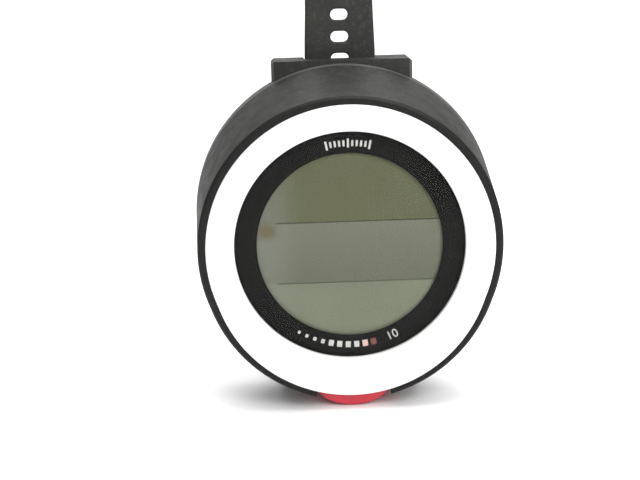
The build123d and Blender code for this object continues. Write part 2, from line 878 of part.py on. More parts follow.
def strap_short():
    """The short half of the strap: back along the ground, then curling up to the buckle."""
    turn = radians(curl_angle)
    middle = (0, run_y + curl_radius * sin(turn / 2), pin_bottom_z + curl_radius * (1 - cos(turn / 2)))
    run = Line((0, pin_y, pin_bottom_z), (0, run_y, pin_bottom_z))
    curl = ThreePointArc((0, run_y, pin_bottom_z), middle, (0, buckle_y, buckle_z))
    place = Plane(origin=(0, pin_y, pin_bottom_z), x_dir=(1, 0, 0), z_dir=(0, 1, 0))
    strap = sweep(strap_section(place), Wire([run, curl]))
    half = strap_width / 2
    strap += rod(barrel_radius, -half, half, pin_y, pin_bottom_z)
    strap += rod(buckle_barrel_radius, -half, half, buckle_y, buckle_z)
    strap -= rod(pin_radius + pin_play, -strap_width, strap_width, pin_y, pin_bottom_z)
    strap -= rod(buckle_pin_radius + buckle_pin_play, -strap_width, strap_width, buckle_y, buckle_z)
    side = tongue_width / 2 + tongue_gap
    reach_in = tongue_root_radius + tongue_gap
    notch = Box(2 * side, 4 * buckle_barrel_radius, 4 * buckle_barrel_radius)
    return strap - at_buckle(Pos(0, 2 * buckle_barrel_radius - reach_in, 0) * notch)


def at_buckle(shape):
    """The piece from the buckle's own frame, Y away from the strap and Z up, at the strap's end."""
    return Pos(0, buckle_y, buckle_z) * Rot(curl_angle, 0, 0) * shape


def buckle_frame():
    """The U-shaped buckle frame, with its two arms on the pin and its bar at the far end."""
    inner = strap_width / 2 + frame_gap
    outer = inner + frame_arm
    high = frame_height / 2
    frame = slab(-outer, outer, -high, frame_window + frame_bar, -high, high)
    ends = frame.edges().filter_by(Axis.X)
    frame = fillet(ends, high - frame_edge)
    frame -= slab(-inner, inner, -2 * high, frame_window, -2 * high, 2 * high)
    return at_buckle(frame - rod(buckle_pin_radius, -2 * outer, 2 * outer, 0, 0))


def buckle_pin():
    """The steel pin of the buckle, pressed into the frame's arms."""
    half = strap_width / 2 + frame_gap + frame_arm - pin_recess
    return at_buckle(rod(buckle_pin_radius, -half, half, 0, 0))


def buckle_tongue():
    """The tongue: a ring on the pin and a blade that lies over the frame's bar."""
    low = frame_height / 2 + tongue_rest_gap
    high = low + tongue_thickness
    knee = frame_window - tongue_overhang
    tip = frame_window + frame_bar + tongue_overhang
    side = Polyline(
        (0, 0, tongue_root_radius - tongue_thickness),
        (0, knee, low),
        (0, tip, low),
        (0, tip, high),
        (0, knee, high),
        (0, 0, tongue_root_radius),
        close=True,
    )
    tongue = extrude(make_face(side), tongue_width / 2, both=True)
    tongue += rod(tongue_root_radius, -tongue_width / 2, tongue_width / 2, 0, 0)
    return at_buckle(tongue - rod(buckle_pin_radius + buckle_pin_play, -tongue_width, tongue_width, 0, 0))


def keeper():
    """The loop that slides on the short strap, with room for the long strap's tail."""
    half_x = strap_width / 2 + keeper_gap
    low = pin_bottom_z - strap_thickness / 2 - keeper_gap
    high = pin_bottom_z + strap_thickness / 2 + keeper_room
    start = pin_y + keeper_place - keeper_length / 2
    end = start + keeper_length
    outer_x = half_x + keeper_wall
    loop = slab(-outer_x, outer_x, start, end, low - keeper_wall, high + keeper_wall)
    loop = fillet(loop.edges().filter_by(Axis.Y), keeper_corner)
    return loop - slab(-half_x, half_x, start - 1, end + 1, low, high)


PIECES = {
    "bezel_ring": bezel_ring,
    "case_body": case_body,
    "lens": lens,
    "dial_mask": dial_mask,
    "lens_seal": lens_seal,
    "lcd_foam": lcd_foam,
    "lcd_panel": lcd_panel,
    "backlight": backlight,
    "display_connectors": display_connectors,
    "display_carrier": display_carrier,
    "circuit_board": circuit_board,
    "board_chips": board_chips,
    "board_screws": board_screws,
    "button_switch": button_switch,
    "button_cap": button_cap,
    "button_stem": button_stem,
    "button_o_ring": button_o_ring,
    "button_clip": button_clip,
    "button_spring": button_spring,
    "case_back": case_back,
    "case_seal": case_seal,
    "case_screws": case_screws,
    "battery": battery,
    "battery_contact_minus": battery_contact_minus,
    "battery_contact_plus": battery_contact_plus,
    "battery_cap": battery_cap,
    "battery_cap_seal": battery_cap_seal,
    "pressure_sensor": pressure_sensor,
    "sensor_seal": sensor_seal,
    "buzzer": buzzer,
    "buzzer_contacts": buzzer_contacts,
    "wet_contacts": wet_contacts,
    "strap_pin_top": lambda: strap_pin(pin_top_z),
    "strap_pin_bottom": lambda: strap_pin(pin_bottom_z),
    "strap_long": strap_long,
    "strap_short": strap_short,
    "buckle_frame": buckle_frame,
    "buckle_pin": buckle_pin,
    "buckle_tongue": buckle_tongue,
    "keeper": keeper,
}

os.makedirs("parts", exist_ok=True)
for name, make in PIECES.items():
    made = make()
    solids = made if isinstance(made, list) else [made]
    export_step(placed(Compound([s for piece in solids for s in piece.solids()])), f"parts/{name}.step")
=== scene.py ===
import math

import bmesh
import bpy
import numpy as np
from mathutils import Matrix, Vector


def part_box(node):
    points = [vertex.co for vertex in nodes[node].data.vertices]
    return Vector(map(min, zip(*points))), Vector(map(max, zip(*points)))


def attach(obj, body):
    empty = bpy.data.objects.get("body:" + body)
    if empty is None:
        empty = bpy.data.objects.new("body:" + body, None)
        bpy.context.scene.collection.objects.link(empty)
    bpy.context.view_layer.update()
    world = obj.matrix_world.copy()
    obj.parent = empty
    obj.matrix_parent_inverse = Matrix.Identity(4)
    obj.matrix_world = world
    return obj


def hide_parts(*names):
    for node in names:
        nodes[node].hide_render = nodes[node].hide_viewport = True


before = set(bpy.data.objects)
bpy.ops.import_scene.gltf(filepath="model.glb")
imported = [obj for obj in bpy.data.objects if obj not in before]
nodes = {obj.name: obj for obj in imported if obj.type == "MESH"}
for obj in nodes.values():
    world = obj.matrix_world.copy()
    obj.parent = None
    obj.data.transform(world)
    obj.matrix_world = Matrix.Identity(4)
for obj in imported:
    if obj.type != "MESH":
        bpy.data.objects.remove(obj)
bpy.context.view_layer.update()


# Bezel ring: the white hard-plastic ring pressed into the front of the case.
# Its flat rim runs out into a tab over the button, and a dish slopes in to the glass.
ring_low, ring_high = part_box("bezel_ring")
ring_radius = (ring_high.x - ring_low.x) / 2
face_z = ring_high.z - ring_radius
face_y = ring_low.y
ring_depth, dish_depth, foot_depth = 0.0026, 0.0037, 0.0051
rim_bore = ring_radius - 0.0008
ring_bore = rim_bore - 0.00675
ring_edge = 0.0005
tab_reach = face_z - ring_low.z
tab_half_angle = math.radians(68)


def rounded(corners, radii, steps=7, closed=True):
    """A line through the corners with each corner turned into an arc.
    point = centre - r (sin((1 - t) w) n_in + sin(t w) n_out) / sin(w), with t from 0 to 1,
    centre = corner + r (n_in + n_out) / (1 + n_in . n_out), n_in and n_out the normals of the
    two sides towards the inside of the turn, and w the angle between them.
    A point a little before and after each arc keeps the straight parts flat to the light."""
    p = np.asarray(corners, float)
    r = np.broadcast_to(np.asarray(radii, float), len(p))[:, None]
    came, goes = p - np.roll(p, 1, 0), np.roll(p, -1, 0) - p
    came = came / np.linalg.norm(came, axis=1, keepdims=True)
    goes = goes / np.linalg.norm(goes, axis=1, keepdims=True)
    side = np.where(came[:, 0] * goes[:, 1] - came[:, 1] * goes[:, 0] < 0, -1.0, 1.0)[:, None]
    n_in = side * np.stack([-came[:, 1], came[:, 0]], 1)
    n_out = side * np.stack([-goes[:, 1], goes[:, 0]], 1)
    dot = np.clip((n_in * n_out).sum(1, keepdims=True), -0.9999, 0.9999999)
    centre = p + r * (n_in + n_out) / (1 + dot)
    w = np.arccos(dot)[:, None]
    t = np.linspace(0, 1, steps)[None, :, None]
    arc = (np.sin((1 - t) * w) * n_in[:, None] + np.sin(t * w) * n_out[:, None]) / np.sin(w)
    arc = centre[:, None] - r[:, None] * arc
    near = 0.2 * r[:, None]
    arc = np.concatenate([arc[:, :1] - near * came[:, None], arc, arc[:, -1:] + near * goes[:, None]], 1)
    if closed:
        return arc.reshape(-1, 2)
    return np.concatenate([p[:1], arc[1:-1].reshape(-1, 2), p[-1:]])


def grid_faces(rows, columns, wrap_rows, wrap_columns):
    """The four-cornered faces of a grid: (i, j), (i, j + 1), (i + 1, j + 1), (i + 1, j)."""
    i = np.arange(rows if wrap_rows else rows - 1)[:, None]
    j = np.arange(columns if wrap_columns else columns - 1)[None, :]
    k, l = (i + 1) % rows, (j + 1) % columns
    return np.stack([i * columns + j, i * columns + l, k * columns + l, k * columns + j], -1).reshape(-1, 4)


def skin(name, grids, material, sharp=40, merge=2e-6):
    """One piece from grids of points, each (points, wrap rows, wrap columns, close ends).
    Points that coincide are merged, ends that are asked for are closed by one face each,
    and the faces are turned outwards."""
    points, faces, count = [], [], 0
    for grid, wrap_rows, wrap_columns, ends in grids:
        rows, columns = grid.shape[:2]
        points.append(grid.reshape(-1, 3))
        faces += (grid_faces(rows, columns, wrap_rows, wrap_columns) + count).tolist()
        if ends:
            faces.append((np.arange(columns)[::-1] + count).tolist())
            faces.append((np.arange(columns) + (rows - 1) * columns + count).tolist())
        count += rows * columns
    mesh = bpy.data.meshes.new(name)
    mesh.from_pydata(np.concatenate(points).tolist(), [], faces)
    shape = bmesh.new()
    shape.from_mesh(mesh)
    bmesh.ops.remove_doubles(shape, verts=shape.verts, dist=merge)
    bmesh.ops.dissolve_degenerate(shape, dist=merge / 4, edges=shape.edges)
    bmesh.ops.recalc_face_normals(shape, faces=shape.faces)
    shape.to_mesh(mesh)
    shape.free()
    mesh.shade_smooth()
    mesh.set_sharp_from_angle(angle=math.radians(sharp))
    made = bpy.data.objects.new(name, mesh)
    bpy.context.scene.collection.objects.link(made)
    made.data.materials.append(material)
    return made


def finish(name, colour, roughness, spread=0.12, patch=60, grain=4000, grain_depth=2e-5, metal=0.0, coat=0.0,
           specular=0.5, smudge=0.15, dust=0.0, dust_colour=(0.30, 0.29, 0.27)):
    """A surface with patches of lighter and darker colour, a fine grain, uneven gloss and dust.
    colour is multiplied by 1 - spread to 1 + spread by a slow noise, roughness gets smudge times
    another, and the grain is a noise read as height."""
    made = bpy.data.materials.new(name)
    made.use_nodes = True
    tree = made.node_tree
    shader = tree.nodes["Principled BSDF"]
    place = tree.nodes.new("ShaderNodeTexCoord").outputs["Object"]

    def noise(scale, detail=3.0, rough=0.55):
        node = tree.nodes.new("ShaderNodeTexNoise")
        node.inputs["Scale"].default_value = scale
        node.inputs["Detail"].default_value = detail
        node.inputs["Roughness"].default_value = rough
        tree.links.new(place, node.inputs["Vector"])
        return node.outputs["Fac"]

    def spread_out(value, low, high, to_low, to_high):
        node = tree.nodes.new("ShaderNodeMapRange")
        for socket, number in zip(node.inputs[1:5], (low, high, to_low, to_high)):
            socket.default_value = number
        tree.links.new(value, node.inputs["Value"])
        return node.outputs["Result"]

    def blend(share, first, second):
        node = tree.nodes.new("ShaderNodeMix")
        node.data_type = "RGBA"
        tree.links.new(share, node.inputs["Factor"])
        for socket, colour_in in ((node.inputs["A"], first), (node.inputs["B"], second)):
            if isinstance(colour_in, tuple):
                socket.default_value = (*colour_in, 1.0)
            else:
                tree.links.new(colour_in, socket)
        return node.outputs["Result"]

    dark = tuple(c * (1 - spread) for c in colour)
    light = tuple(min(1.0, c * (1 + spread)) for c in colour)
    shown = blend(spread_out(noise(patch, 4.0), 0.3, 0.7, 0.0, 1.0), dark, light)
    if dust:
        specks = spread_out(noise(patch * 9, 6.0, 0.7), 0.52, 0.8, 0.0, dust)
        shown = blend(specks, shown, dust_colour)
    tree.links.new(shown, shader.inputs["Base Color"])
    uneven = spread_out(noise(patch * 3, 5.0), 0.3, 0.7, roughness - smudge / 2, roughness + smudge / 2)
    tree.links.new(uneven, shader.inputs["Roughness"])
    bump = tree.nodes.new("ShaderNodeBump")
    bump.inputs["Strength"].default_value = 1.0
    bump.inputs["Distance"].default_value = grain_depth
    tree.links.new(noise(grain, 2.0), bump.inputs["Height"])
    tree.links.new(bump.outputs["Normal"], shader.inputs["Normal"])
    shader.inputs["Metallic"].default_value = metal
    shader.inputs["Coat Weight"].default_value = coat
    shader.inputs["Coat Roughness"].default_value = 0.04
    shader.inputs["Specular IOR Level"].default_value = specular
    return made


def ring_outline(angle):
    """The ring's outline at an angle a from straight down: its circle R, or the tab's own smaller circle
    where that reaches further, s cos(a) + sqrt((T - s)^2 - (s sin(a))^2). T is the tab's reach, and
    s = (T^2 - R^2) / (2 (T - R cos(h))) is how far down its centre lies for the two to meet at h."""
    s = (tab_reach**2 - ring_radius**2) / (2 * (tab_reach - ring_radius * math.cos(tab_half_angle)))
    tab = s * np.cos(angle) + np.sqrt((tab_reach - s) ** 2 - (s * np.sin(angle)) ** 2)
    return np.maximum(ring_radius, tab)


def turned(profile, angle, grow=None):
    """A grid from (radius, depth) points turned round the face's axis: x = r sin(a), z = -r cos(a).
    grow(a, r) gives the radius at each angle where the piece isn't round."""
    r, depth = profile[:, 0][:, None], profile[:, 1][:, None]
    a = angle[None, :]
    r = r + 0 * a if grow is None else grow(a, r)
    return np.stack([r * np.sin(a), face_y + depth + 0 * a, face_z - r * np.cos(a)], -1)


def ring_radii(angle, r):
    """Only what lies outside the rim's bore follows the tab: r + (rho(a) - R) clip((r - b) / (R - e - b)),
    b the rim's bore and e the width of its rounded edge."""
    share = np.clip((r - rim_bore) / (ring_radius - ring_edge - rim_bore), 0, 1)
    return r + (ring_outline(angle) - ring_radius) * share


all_round = np.linspace(0, 2 * np.pi, 361)[:-1]
ring_profile = rounded(
    [
        (ring_bore, foot_depth),
        (ring_bore, dish_depth),
        (rim_bore - 0.0035, 0.00165),
        (rim_bore, 0.00005),
        (ring_radius, 0.0),
        (ring_radius, ring_depth),
        (ring_bore + ring_depth, ring_depth),
    ],
    [0.00004, 0.00022, 0.004, 0.0006, 0.00035, 0.00005, 0.00005],
)
white_plastic = finish("white_ring_plastic", (0.80, 0.80, 0.785), 0.36, spread=0.02, patch=30, grain=2500,
                       grain_depth=3e-6, smudge=0.12, dust=0.10, dust_colour=(0.55, 0.53, 0.49))
bezel_skin = turned(ring_profile, all_round, ring_radii)
bezel = skin("bezel_ring_moulded", [(bezel_skin, True, True, False)], white_plastic)
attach(bezel, "case")
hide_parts("bezel_ring")


# Case body: the deep tapered front shell of black fibre-filled nylon, moulded in one
# piece with the thin lip round the ring and the collar round the button.
def softened(node, name, material, edge):
    """A CAD node's shape with its loose triangles merged, flat faces joined, and its corners
    rounded to the radius edge."""
    mesh = nodes[node].data.copy()
    shape = bmesh.new()
    shape.from_mesh(mesh)
    bmesh.ops.remove_doubles(shape, verts=shape.verts, dist=2e-6)
    bmesh.ops.dissolve_limit(shape, angle_limit=math.radians(0.4), verts=shape.verts, edges=shape.edges)
    shape.to_mesh(mesh)
    shape.free()
    mesh.materials.clear()
    mesh.materials.append(material)
    made = bpy.data.objects.new(name, mesh)
    bpy.context.scene.collection.objects.link(made)
    bevel = made.modifiers.new("soft_corners", "BEVEL")
    bevel.width = edge
    bevel.segments = 3
    bevel.limit_method = "ANGLE"
    bevel.angle_limit = math.radians(32)
    mesh.shade_smooth()
    mesh.set_sharp_from_angle(angle=math.radians(50))
    return made


def face_places(piece):
    """The middle and the outward normal of each face of a piece, each as three rows."""
    middles, normals = np.zeros(len(piece.data.polygons) * 3), np.zeros(len(piece.data.polygons) * 3)
    piece.data.polygons.foreach_get("center", middles)
    piece.data.polygons.foreach_get("normal", normals)
    return middles.reshape(-1, 3).T, normals.reshape(-1, 3).T


def finish_faces(piece, material, chosen):
    """Gives the chosen faces of a piece a second finish."""
    piece.data.materials.append(material)
    piece.data.polygons.foreach_set("material_index", chosen.astype(np.int32))


case_nylon = finish("case_black_nylon", (0.0155, 0.016, 0.0145), 0.52, spread=0.2, patch=70, grain=5200,
                    grain_depth=2.5e-5, specular=0.20, smudge=0.16, dust=0.10)
# The lip's front faces get a smoother finish whose darker colour is painted shade, standing in for the shadow
# in the gap beside the ring.
lip_shade_nylon = finish("case_lip_painted_shade", (0.0085, 0.0085, 0.008), 0.45, spread=0.15, patch=70, grain=5200,
                   grain_depth=6e-6, specular=0.16, smudge=0.1, dust=0.03)
case_shell = softened("case_body", "case_shell", case_nylon, 0.0003)
(x, y, z), facing = face_places(case_shell)
lip_y, seam_y = (corner.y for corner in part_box("case_body"))
lip_depth = 0.0008
# Painted shade: the darker lip finish goes only on the lip's faces that look to the front.
finish_faces(case_shell, lip_shade_nylon, (y < lip_y + lip_depth) & (facing[1] < -0.5))
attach(case_shell, "case")
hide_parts("case_body")


# Display stack inside the case: a white carrier with the light guide, the rubber
# connector strips and the display cell, all held to the flange with the circuit board.
def paint(material, *names):
    """Gives the named CAD nodes their finish."""
    for name in names:
        nodes[name].data.materials.clear()
        nodes[name].data.materials.append(material)


paint(finish("carrier_white_plastic", (0.75, 0.75, 0.72), 0.45, spread=0.04), "display_carrier", "backlight")
paint(finish("connector_grey_rubber", (0.22, 0.22, 0.22), 0.7), "display_connectors")
paint(finish("board_green_mask", (0.02, 0.13, 0.05), 0.35, spread=0.2, patch=300, coat=0.3), "circuit_board")
paint(finish("chip_black_epoxy", (0.03, 0.03, 0.032), 0.5), "board_chips", "button_switch")
steel = finish("stainless_steel", (0.56, 0.56, 0.55), 0.3, metal=1.0, spread=0.05, grain=9000,
               grain_depth=2e-6)
paint(steel, "board_screws")
paint(finish("foam_black", (0.02, 0.02, 0.02), 0.9, grain=9000, grain_depth=6e-5), "lcd_foam", "lens_seal")


# Display cell: a round blank liquid crystal cell in grey-green, with three areas
# that are told apart by two thin dark lines, and a faint stain near its left edge.
display_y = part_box("lcd_panel")[0].y
display = bpy.data.materials.new("display_grey_green")
display.use_nodes = True
tree = display.node_tree
shader = tree.nodes["Principled BSDF"]
spot = tree.nodes.new("ShaderNodeTexCoord").outputs["Object"]
parts = tree.nodes.new("ShaderNodeSeparateXYZ")
tree.links.new(spot, parts.inputs["Vector"])


def scaled(value, low, high, to_low=0.0, to_high=1.0):
    """value taken from low..high to to_low..to_high and held there."""
    node = tree.nodes.new("ShaderNodeMapRange")
    for socket, number in zip(node.inputs[1:5], (low, high, to_low, to_high)):
        socket.default_value = number
    tree.links.new(value, node.inputs["Value"])
    return node.outputs["Result"]


def times(first, second):
    """The product of two values."""
    node = tree.nodes.new("ShaderNodeMath")
    node.operation = "MULTIPLY"
    tree.links.new(first, node.inputs[0])
    tree.links.new(second, node.inputs[1])
    return node.outputs["Value"]


def over(share, under, colour):
    """colour laid over another by a share."""
    node = tree.nodes.new("ShaderNodeMix")
    node.data_type = "RGBA"
    tree.links.new(share, node.inputs["Factor"])
    for socket, value in ((node.inputs["A"], under), (node.inputs["B"], colour)):
        if isinstance(value, tuple):
            socket.default_value = (*value, 1.0)
        else:
            tree.links.new(value, socket)
    return node.outputs["Result"]


upper_line, lower_line, line_half, line_blur = face_z + 0.0065, face_z - 0.0104, 0.00026, 1e-5
middle_share = scaled(parts.outputs["Z"], upper_line, lower_line)
lower_share = scaled(parts.outputs["Z"], lower_line + line_blur, lower_line - line_blur)
upper_share = scaled(parts.outputs["Z"], upper_line - line_blur, upper_line + line_blur)
areas = over(middle_share, (0.138, 0.144, 0.105), (0.108, 0.115, 0.077))
areas = over(lower_share, areas, (0.158, 0.174, 0.120))
areas = over(upper_share, areas, (0.092, 0.097, 0.050))
cloud = tree.nodes.new("ShaderNodeTexNoise")
cloud.inputs["Scale"].default_value = 45
cloud.inputs["Detail"].default_value = 2
tree.links.new(spot, cloud.inputs["Vector"])
areas = over(scaled(cloud.outputs["Fac"], 0.35, 0.75, 0.0, 0.35), areas, (0.122, 0.130, 0.096))
areas = over(scaled(parts.outputs["X"], -0.0135, -0.022, 0.0, 0.45), areas, (0.185, 0.193, 0.170))
within = scaled(parts.outputs["X"], -0.0203, -0.0198)
for height, strength in ((upper_line, 0.8), (lower_line, 0.62)):
    below = scaled(parts.outputs["Z"], height - line_half, height - line_half / 2)
    above = scaled(parts.outputs["Z"], height + line_half, height + line_half / 2)
    line = times(times(below, above), within)
    areas = over(scaled(line, 0, 1, 0, strength), areas, (0.030, 0.032, 0.020))
stain = tree.nodes.new("ShaderNodeTexGradient")
stain.gradient_type = "SPHERICAL"
stain_place = tree.nodes.new("ShaderNodeMapping")
stain_place.vector_type = "TEXTURE"
stain_place.inputs["Location"].default_value = (-0.0224, display_y, face_z + 0.0045)
stain_place.inputs["Scale"].default_value = (0.0042, 0.02, 0.0036)
tree.links.new(spot, stain_place.inputs["Vector"])
tree.links.new(stain_place.outputs["Vector"], stain.inputs["Vector"])
areas = over(scaled(stain.outputs["Fac"], 0.05, 0.7, 0.0, 0.7), areas, (0.105, 0.082, 0.036))
tree.links.new(areas, shader.inputs["Base Color"])
shader.inputs["Roughness"].default_value = 0.45
shader.inputs["Specular IOR Level"].default_value = 0.0
shader.inputs["Coat Weight"].default_value = 0.25
shader.inputs["Coat Roughness"].default_value = 0.06
speckle = tree.nodes.new("ShaderNodeTexNoise")
speckle.inputs["Scale"].default_value = 3500
tree.links.new(spot, speckle.inputs["Vector"])
ripple = tree.nodes.new("ShaderNodeBump")
ripple.inputs["Distance"].default_value = 4e-7
tree.links.new(speckle.outputs["Fac"], ripple.inputs["Height"])
tree.links.new(ripple.outputs["Normal"], shader.inputs["Normal"])
paint(display, "lcd_panel")


# Mask: the black film printed on the back of the glass, with its round window, and the
# small marks printed on it: ticks at 12 o'clock, a bar of ten marks and a plain number.
glass_low, glass_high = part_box("lens")
mask_low, mask_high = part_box("dial_mask")
glass_radius = (glass_high.x - glass_low.x) / 2
window_radius = ring_bore - 0.0061
mask_ink = finish("mask_black_ink", (0.006, 0.006, 0.0055), 0.5, spread=0.1, patch=120, grain=6000,
                  grain_depth=1e-7, coat=0.10, specular=0.0, smudge=0.0)
mask_profile = np.array(
    [
        (window_radius, mask_low.y - face_y),
        (glass_radius, mask_low.y - face_y),
        (glass_radius, mask_high.y - face_y),
        (window_radius + 0.0003, mask_high.y - face_y),
    ]
)
mask = skin("dial_mask_film", [(turned(mask_profile, all_round), True, True, False)], mask_ink)
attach(mask, "case")
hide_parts("dial_mask")

mark_y = mask_low.y - 0.00003
mark_circle = 0.0281


def marks(name, angles, widths, heights, circle, material):
    """Flat printed marks on a circle of the mask, each turned to face the middle.
    Corner = c (sin a, -cos a) + u w/2 (cos a, sin a) + v h/2 (-sin a, cos a), u and v each -1 or 1."""
    a, w, h = (np.asarray(v, float)[:, None] for v in np.broadcast_arrays(angles, widths, heights))
    u, v = np.array([[-1, 1, 1, -1]]), np.array([[-1, -1, 1, 1]])
    x = circle * np.sin(a) + u * w / 2 * np.cos(a) - v * h / 2 * np.sin(a)
    z = -circle * np.cos(a) + u * w / 2 * np.sin(a) + v * h / 2 * np.cos(a)
    points = np.stack([x, np.full_like(x, mark_y), face_z + z], -1)
    corners = points.shape[1]
    mesh = bpy.data.meshes.new(name)
    faces = np.arange(points.shape[0] * corners).reshape(-1, corners)
    mesh.from_pydata(points.reshape(-1, 3).tolist(), [], faces.tolist())
    made = bpy.data.objects.new(name, mesh)
    bpy.context.scene.collection.objects.link(made)
    mesh.materials.append(material)
    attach(made, "case")
    return made


def ink(name, colour, spread):
    """A printed ink with a fine grain."""
    return finish(name, colour, 0.4, spread=spread, patch=900, grain=9000, grain_depth=1e-6)


mark_ink = ink("mark_white_ink", (0.50, 0.50, 0.475), 0.12)
warm_ink = ink("mark_pink_ink", (0.60, 0.42, 0.36), 0.08)
red_ink = ink("mark_red_ink", (0.16, 0.040, 0.032), 0.08)
bar_angles = np.radians(np.linspace(-31, 12.3, 10))
dot_widths, dot_heights = (0.0007, 0.0008, 0.0009, 0.0010), (0.0008, 0.0009, 0.0010, 0.0012)
marks("bar_dots", bar_angles[:4], dot_widths, dot_heights, mark_circle, mark_ink)
marks("bar_blocks", bar_angles[4:8], 0.0014, 0.0017, mark_circle, mark_ink)
marks("bar_block_pink", bar_angles[8:9], 0.0015, 0.0018, mark_circle, warm_ink)
marks("bar_block_red", bar_angles[9:], 0.0015, 0.0018, mark_circle, red_ink)
tick_angles = np.pi - np.linspace(-0.21, 0.21, 11)
tick_heights = np.where(np.arange(11) % 5 == 0, 0.0024, 0.0016)
marks("top_ticks", tick_angles, 0.00055, tick_heights, mark_circle - 0.0001, mark_ink)
label = bpy.data.curves.new("bar_number", "FONT")
label.body = "10"
label.size = 0.0034
label.align_x = label.align_y = "CENTER"
label_object = bpy.data.objects.new("bar_number_text", label)
bpy.context.scene.collection.objects.link(label_object)
bpy.context.view_layer.update()
number_mesh = bpy.data.meshes.new_from_object(label_object)
bpy.data.objects.remove(label_object)
flat = np.zeros(len(number_mesh.vertices) * 3)
number_mesh.vertices.foreach_get("co", flat)
flat = flat.reshape(-1, 3)
lean = math.radians(23.5)
across, up = flat[:, 0], flat[:, 1]
number_x = mark_circle * math.sin(lean) + across * math.cos(lean) - up * math.sin(lean)
number_z = face_z - mark_circle * math.cos(lean) + across * math.sin(lean) + up * math.cos(lean)
number_points = np.stack([number_x, np.full_like(number_x, mark_y), number_z], 1)
number_mesh.vertices.foreach_set("co", number_points.ravel())
number_mesh.update()
number = bpy.data.objects.new("bar_number", number_mesh)
bpy.context.scene.collection.objects.link(number)
number_mesh.materials.clear()
number_mesh.materials.append(mark_ink)
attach(number, "case")


# Glass: a flat round window of hardened mineral glass with a small polished bevel,
# bedded on a flat gasket in the case.
glass = bpy.data.materials.new("hardened_glass")
glass.use_nodes = True
glass_shader = glass.node_tree.nodes["Principled BSDF"]
glass_shader.inputs["Base Color"].default_value = (0.02, 0.022, 0.021, 1.0)
glass_shader.inputs["Alpha"].default_value = 0.03
glass_shader.inputs["Coat Weight"].default_value = 1.0
smears = glass.node_tree.nodes.new("ShaderNodeTexNoise")
smears.inputs["Scale"].default_value = 90
smears_place = glass.node_tree.nodes.new("ShaderNodeTexCoord")
smears_range = glass.node_tree.nodes.new("ShaderNodeMapRange")
smears_range.inputs["To Min"].default_value = 0.02
smears_range.inputs["To Max"].default_value = 0.10
glass.node_tree.links.new(smears_place.outputs["Object"], smears.inputs["Vector"])
glass.node_tree.links.new(smears.outputs["Fac"], smears_range.inputs["Value"])
glass.node_tree.links.new(smears_range.outputs["Result"], glass_shader.inputs["Roughness"])
glass_front, glass_back = glass_low.y - face_y, glass_high.y - face_y - 0.00006
glass_profile = rounded(
    [(0.0, glass_front), (glass_radius, glass_front), (glass_radius, glass_back), (0.0, glass_back)],
    [0, 0.0002, 0.0001, 0],
    closed=False,
)
window = skin("flat_glass", [(turned(glass_profile, all_round), False, True, False)], glass)
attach(window, "case")
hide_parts("lens")


# Button at 6 o'clock: a soft-touch red block with a rounded foot, pressed on a steel
# stem that a seal ring, a spring and a clip hold in the case.
button_low, button_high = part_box("button_cap")
button_half_x = (button_high.x - button_low.x) / 2
button_half_y = (button_high.y - button_low.y) / 2
button_mid_y = (button_high.y + button_low.y) / 2
foot_radius, button_edge = 0.0150, 0.0009
button_red = finish("button_red_rubber", (0.56, 0.030, 0.048), 0.5, spread=0.1, patch=150, grain=5000,
                    grain_depth=1.5e-5, smudge=0.1)


def button_loops():
    """Closed outlines of the button from its flat top down to the middle of its foot.
    Each is the rounded oblong drawn in by d, and lies on the arch z = R - sqrt(R^2 - x^2) raised by h;
    round the foot's edge d = e (1 - cos t) and h = e (1 - sin t)."""
    t = np.linspace(0, np.pi / 2, 8)
    foot_insets = [button_edge * 1.3, 0.0025, 0.0045, 0.0065, 0.0083]
    inset = np.concatenate([[0.0], button_edge * (1 - np.cos(t)), foot_insets])
    lift = np.concatenate([[1.0], button_edge * (1 - np.sin(t)), np.zeros(len(foot_insets))])
    loops = []
    for d, h in zip(inset, lift):
        w, l = button_half_x - d, button_half_y - d
        corner = max(0.003 - d, 0.0002)
        line = rounded([(-w, -l), (w, -l), (w, l), (-w, l)], corner, steps=9)
        line = np.concatenate([line, np.roll(line, -1, 0)], 1).reshape(-1, 2, 2)
        step = np.linspace(0, 1, 7)[:-1][None, :, None]
        line = (line[:, :1] + (line[:, 1:] - line[:, :1]) * step).reshape(-1, 2)
        z = button_low.z + foot_radius - np.sqrt(foot_radius**2 - line[:, 0] ** 2) + h
        loops.append(np.stack([line[:, 0], button_mid_y + line[:, 1], np.minimum(z, button_high.z)], 1))
    return np.stack(loops)


button = skin("button_red_cap", [(button_loops(), False, True, True)], button_red)
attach(button, "button")
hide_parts("button_cap")
paint(steel, "button_stem", "button_clip", "button_spring")
black_rubber = finish("seal_black_rubber", (0.02, 0.02, 0.02), 0.55, grain=6000)
paint(black_rubber, "button_o_ring", "case_seal", "battery_cap_seal", "sensor_seal")


# Back half of the case: the cover with both strap lugs, screwed on with four hexagon
# socket screws, with the sensor's ports and the two water contacts.
cover = softened("case_back", "case_cover", case_nylon, 0.00025)
